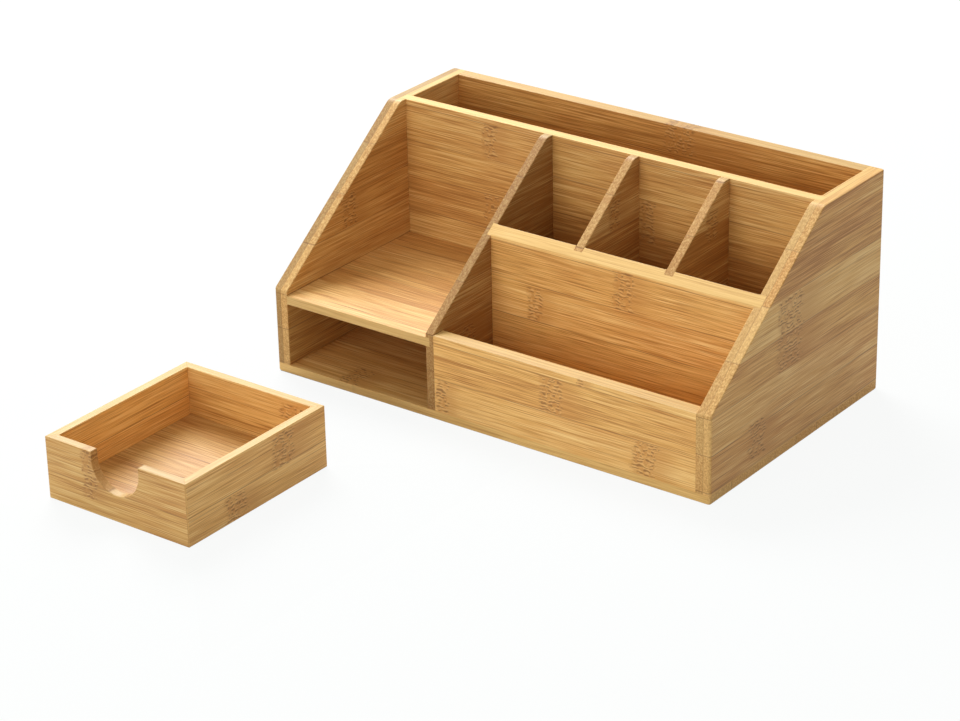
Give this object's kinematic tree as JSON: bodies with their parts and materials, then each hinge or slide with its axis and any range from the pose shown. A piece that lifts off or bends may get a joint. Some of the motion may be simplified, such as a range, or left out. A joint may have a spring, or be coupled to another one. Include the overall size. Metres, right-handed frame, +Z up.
{
  "type": "desk organizer",
  "caption": "Bamboo desk organizer with sloped sides, a shelf over a bay with a loose note tray, upright pen compartments, a front compartment and a rear letter slot.",
  "frame": {"origin": "centre of the underside of the organizer's base board; the note tray lies in front of it", "axes": "+X to the right as the user sees it, +Y from the low front to the tall back, +Z up"},
  "size_m": [0.325, 0.408, 0.146],
  "materials": {
    "bamboo_boards": "satin",
    "bamboo_sides": "satin",
    "bamboo_dividers": "satin",
    "bamboo_tray": "satin",
    "screw_steel": "satin"
  },
  "bodies": {
    "organizer": {"base_board": "bamboo_boards", "left_side": "bamboo_sides", "right_side": "bamboo_sides", "back_panel": "bamboo_boards", "slot_wall": "bamboo_boards", "centre_divider": "bamboo_dividers", "bay_shelf": "bamboo_boards", "front_panel": "bamboo_boards", "mid_wall": "bamboo_boards", "pen_divider_left": "bamboo_dividers", "pen_divider_right": "bamboo_dividers", "base_screws": "screw_steel"},
    "tray": {"tray_front": "bamboo_tray", "tray_back": "bamboo_tray", "tray_left": "bamboo_tray", "tray_right": "bamboo_tray", "tray_bottom": "bamboo_tray"}
  },
  "joints": [
    {"name": "tray_slide", "type": "slide", "parent": "organizer", "child": "tray", "axis": [0, 1, 0], "range_m": [0, 0.218]}
  ]
}
